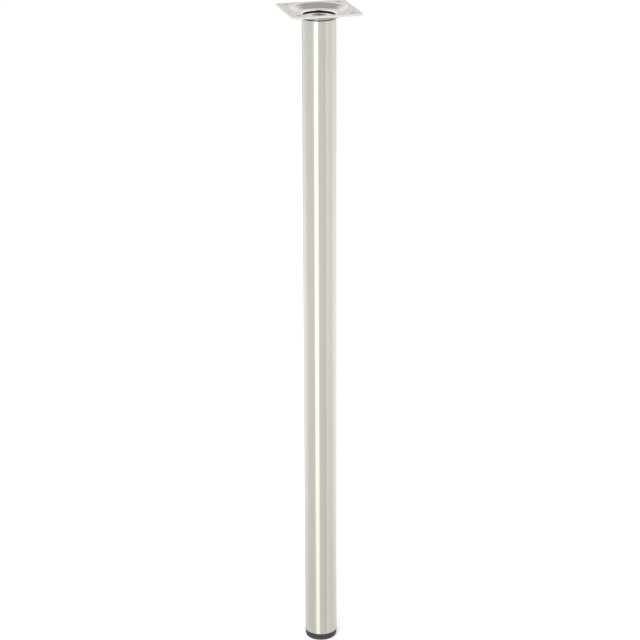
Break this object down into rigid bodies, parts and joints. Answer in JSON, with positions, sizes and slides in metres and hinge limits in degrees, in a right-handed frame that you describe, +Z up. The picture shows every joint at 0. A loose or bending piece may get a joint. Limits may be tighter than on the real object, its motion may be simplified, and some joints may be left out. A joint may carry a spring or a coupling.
{
  "type": "table leg",
  "caption": "Round steel table leg with a dished screw-on plate bolted to its upper end and a black levelling foot that screws out of its lower end.",
  "frame": {"origin": "on the floor under the middle of the foot, with the foot screwed right in", "axes": "+Z up the tube to the mounting face, X and Y along the sides of the plate"},
  "size_m": [0.073, 0.073, 0.71],
  "materials": {
    "satin_steel": "satin, ground round the tube",
    "plated_steel": "smooth bright plating",
    "zinc_steel": "zinc plating",
    "black_steel": "blackened and oiled",
    "black_plastic": "fine matt moulding"
  },
  "bodies": {
    "leg": {"leg_tube": "satin_steel", "mounting_plate": "plated_steel", "plate_bolt": "black_steel", "top_disc": "zinc_steel", "end_plug": "black_plastic", "plug_nut": "zinc_steel"},
    "stud": {"foot_stud": "zinc_steel"},
    "foot": {"foot_disc": "black_plastic"}
  },
  "joints": [
    {"name": "foot_travel", "type": "slide", "parent": "leg", "child": "stud", "axis": [0, 0, -1], "range_m": [0, 0.02]},
    {"name": "foot_turn", "type": "hinge", "parent": "stud", "child": "foot", "pos_m": [0, 0, 0.0022], "axis": [0, 0, -1], "range_deg": [0, 5760]}
  ],
  "couplings": [
    {"joint": "foot_travel", "follows": "foot_turn", "m_per_rad": 0.00019894}
  ]
}
